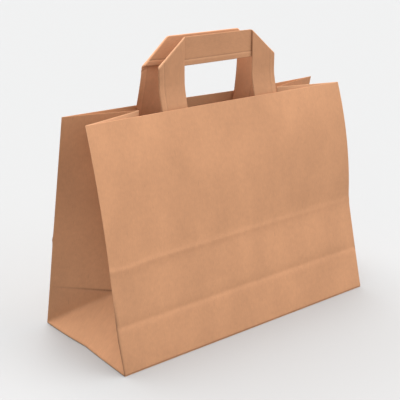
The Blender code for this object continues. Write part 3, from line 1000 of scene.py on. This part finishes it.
def make_patch(bag, handle, look, name, side, node):
    """The sheet glued over both legs of a handle inside the bag, which steps over each leg."""
    slope = handle.patch_slope
    splay = leg_splay(bag, handle, side, bag.height)
    halves = []
    steps = []
    for end in (-1, 1):
        outer, inner = (edge + splay for edge in leg_edges(handle, side, end))
        half = np.concatenate([
            np.linspace(0.0, inner - 2 * slope, 12),
            np.linspace(inner - slope, inner, 6),
            np.linspace(inner + slope, outer - slope, 10),
            np.linspace(outer, outer + slope, 6),
            np.linspace(outer + 2 * slope, outer + handle.patch_margin, 5),
        ])
        onto_leg = ease(half, inner - slope, inner - CLEARANCE)
        off_leg = ease(half, outer + CLEARANCE, outer + slope)
        halves.append(end * half)
        steps.append(onto_leg * (1 - off_leg))
    x = np.concatenate([halves[0][:0:-1], halves[1]])[:, None]
    over = np.concatenate([steps[0][:0:-1], steps[1]])[:, None]
    top = bag.height - handle.patch_below_rim
    z = np.linspace(top - handle.patch_height, top, PATCH_ROWS)[None]
    on_panel = bag.paper * 1.5 + CLEARANCE
    on_leg = bag.paper * 1.5 + 2 * CLEARANCE + handle.hem
    lean = np.hypot(1, panel_lean(bag, side, x, z))
    depth = panel_at(bag, side, x, z) - between(on_panel, on_leg, over) * lean
    points = stack(x, side * depth, z).swapaxes(0, 1)
    faces = quads_on_side(points, side)
    flat = points[..., [0, 2]].reshape(-1, 2)
    slack = panel_slack(bag, panel_part(bag, side, points[..., 0], points[..., 2]), points[..., 2])
    sheet = bare_sheet(
        name, points.reshape(-1, 3), faces, flat[faces].reshape(-1, 2), 0.0, slack.ravel(), 1.0, 0.0
    )
    paper = kraft_paper("patch kraft", look, look.patch_colour, 3)
    paper_piece(name, sheet, bag, paper, "patch", node, thickness=bag.paper, outward_share=0.5, pallor=0.0)


# The stage


def put_shown(nodes, socket, lit, seen):
    """One colour lights the bag. The camera sees the other, also in a reflection or through glass."""
    path = nodes.add("ShaderNodeLightPath").outputs
    directly = nodes.sums("MAXIMUM", path["Is Camera Ray"], path["Is Glossy Ray"])
    directly = nodes.sums("MAXIMUM", directly, path["Is Transmission Ray"])
    shown = nodes.add("ShaderNodeMix", {0: directly, 6: (*lit, 1.0), 7: (*seen, 1.0)}, data_type="RGBA")
    nodes.put(socket, shown.outputs[2])


def make_floor(stage):
    """A pale floor, which gives back less light to the bag than the camera sees."""
    half = 12.0
    corners = [(-half, -half, 0), (half, -half, 0), (half, half, 0), (-half, half, 0)]
    mesh = bpy.data.meshes.new("floor")
    mesh.from_pydata(corners, [], [(0, 1, 2, 3)])
    floor = bpy.data.objects.new("floor", mesh)
    bpy.context.scene.collection.objects.link(floor)
    material = bpy.data.materials.new("pale floor")
    material.use_nodes = True
    shader = material.node_tree.nodes["Principled BSDF"].inputs
    put_shown(Wiring(material.node_tree), shader["Base Color"], stage.bounce_colour, stage.floor_colour)
    shader["Roughness"].default_value = 1.0
    shader["Specular IOR Level"].default_value = 0.0
    mesh.materials.append(material)


def make_sky(stage):
    """Faint even light. The camera sees the pale backdrop all round."""
    world = bpy.data.worlds.new("soft studio")
    bpy.context.scene.world = world
    world.use_nodes = True
    background = world.node_tree.nodes["Background"].inputs
    put_shown(Wiring(world.node_tree), background["Color"], (stage.sky,) * 3, stage.backdrop_colour)


def make_lamps(stage):
    for place in ("overhead", "rear", "front", "fill"):
        lamp = bpy.data.lights.new(place + " lamp", "SUN")
        lamp.energy = getattr(stage, place)
        lamp.angle = stage.softness
        holder = bpy.data.objects.new(place + " lamp", lamp)
        towards = Vector(getattr(stage, place + "_from"))
        holder.rotation_euler = towards.to_track_quat("Z", "Y").to_euler()
        bpy.context.scene.collection.objects.link(holder)


def make_camera():
    camera = bpy.data.cameras.new("camera")
    camera.sensor_width = 36.0
    camera.lens = 80.478
    holder = bpy.data.objects.new("camera", camera)
    holder.location = (-0.5433, -0.6781, 0.4144)
    holder.rotation_euler = (math.pi / 2 - 0.3294, 0.0, -0.6623)
    bpy.context.scene.collection.objects.link(holder)
    bpy.context.scene.camera = holder


def settings(scene):
    return plain(scene.bag_sizes), plain(scene.handle_sizes), plain(scene.paper_look)


class PAPERBAG_OT_bag(Operator):
    """Folds the bag itself, with its panels, gussets and block bottom"""

    bl_idname = "paperbag.bag"
    bl_label = "Fold Bag"

    def execute(self, context):
        bag, _, look = settings(context.scene)
        make_bag(bag, look)
        make_bottom(bag, look)
        return {"FINISHED"}


class PAPERBAG_OT_handles(Operator):
    """Folds the two handle strips"""

    bl_idname = "paperbag.handles"
    bl_label = "Fold Handles"

    def execute(self, context):
        bag, handle, look = settings(context.scene)
        front_paper = kraft_paper("handle kraft", look, look.handle_colour, 2)
        # The rear strip's paler kraft is painted light on its shaded legs
        rear_paper = kraft_paper("rear handle kraft with painted light", look, look.rear_painted_light_colour, 4)
        make_handle(bag, handle, front_paper, 0.0, "front_handle_strip", FRONT, "front_handle")
        make_handle(bag, handle, rear_paper, -look.rear_shade, "rear_handle_strip", BACK, "rear_handle")
        return {"FINISHED"}


class PAPERBAG_OT_patches(Operator):
    """Glues the patches over the handles' legs"""

    bl_idname = "paperbag.patches"
    bl_label = "Glue Patches"

    def execute(self, context):
        bag, handle, look = settings(context.scene)
        make_patch(bag, handle, look, "front_patch_sheet", FRONT, "front_handle_patch")
        make_patch(bag, handle, look, "rear_patch_sheet", BACK, "rear_handle_patch")
        return {"FINISHED"}


class PAPERBAG_OT_stage(Operator):
    """Sets up the pale floor, the soft light and the camera"""

    bl_idname = "paperbag.stage"
    bl_label = "Set Stage"

    def execute(self, context):
        stage = plain(context.scene.stage_look)
        make_floor(stage)
        make_sky(stage)
        make_lamps(stage)
        make_camera()
        context.scene.view_settings.view_transform = "Standard"
        return {"FINISHED"}


class PAPERBAG_PT_sidebar(Panel):
    """Lists the bag's sizes and looks, and the steps that make it"""

    bl_idname = "PAPERBAG_PT_sidebar"
    bl_label = "Paper Carrier Bag"
    bl_space_type = "VIEW_3D"
    bl_region_type = "UI"
    bl_category = "Paper Bag"

    def draw(self, context):
        steps = (
            ("bag_sizes", "paperbag.bag"),
            ("handle_sizes", "paperbag.handles"),
            ("paper_look", "paperbag.patches"),
            ("stage_look", "paperbag.stage"),
        )
        for group_name, step in steps:
            group = getattr(context.scene, group_name)
            box = self.layout.box()
            for name in type(group).__annotations__:
                box.prop(group, name)
            box.operator(step)


GROUPS = {
    "bag_sizes": BagSizes,
    "handle_sizes": HandleSizes,
    "paper_look": PaperLook,
    "stage_look": StageLook,
}
OPERATORS = (PAPERBAG_OT_bag, PAPERBAG_OT_handles, PAPERBAG_OT_patches, PAPERBAG_OT_stage)


def register():
    for name, group in GROUPS.items():
        bpy.utils.register_class(group)
        setattr(bpy.types.Scene, name, PointerProperty(type=group))
    for kind in (*OPERATORS, PAPERBAG_PT_sidebar):
        bpy.utils.register_class(kind)


def unregister():
    for kind in (PAPERBAG_PT_sidebar, *OPERATORS[::-1]):
        bpy.utils.unregister_class(kind)
    for name, group in GROUPS.items():
        delattr(bpy.types.Scene, name)
        bpy.utils.unregister_class(group)


def main():
    register()
    bpy.ops.paperbag.stage()
    bpy.ops.paperbag.bag()
    bpy.ops.paperbag.handles()
    bpy.ops.paperbag.patches()


if __name__ == "__main__":
    main()
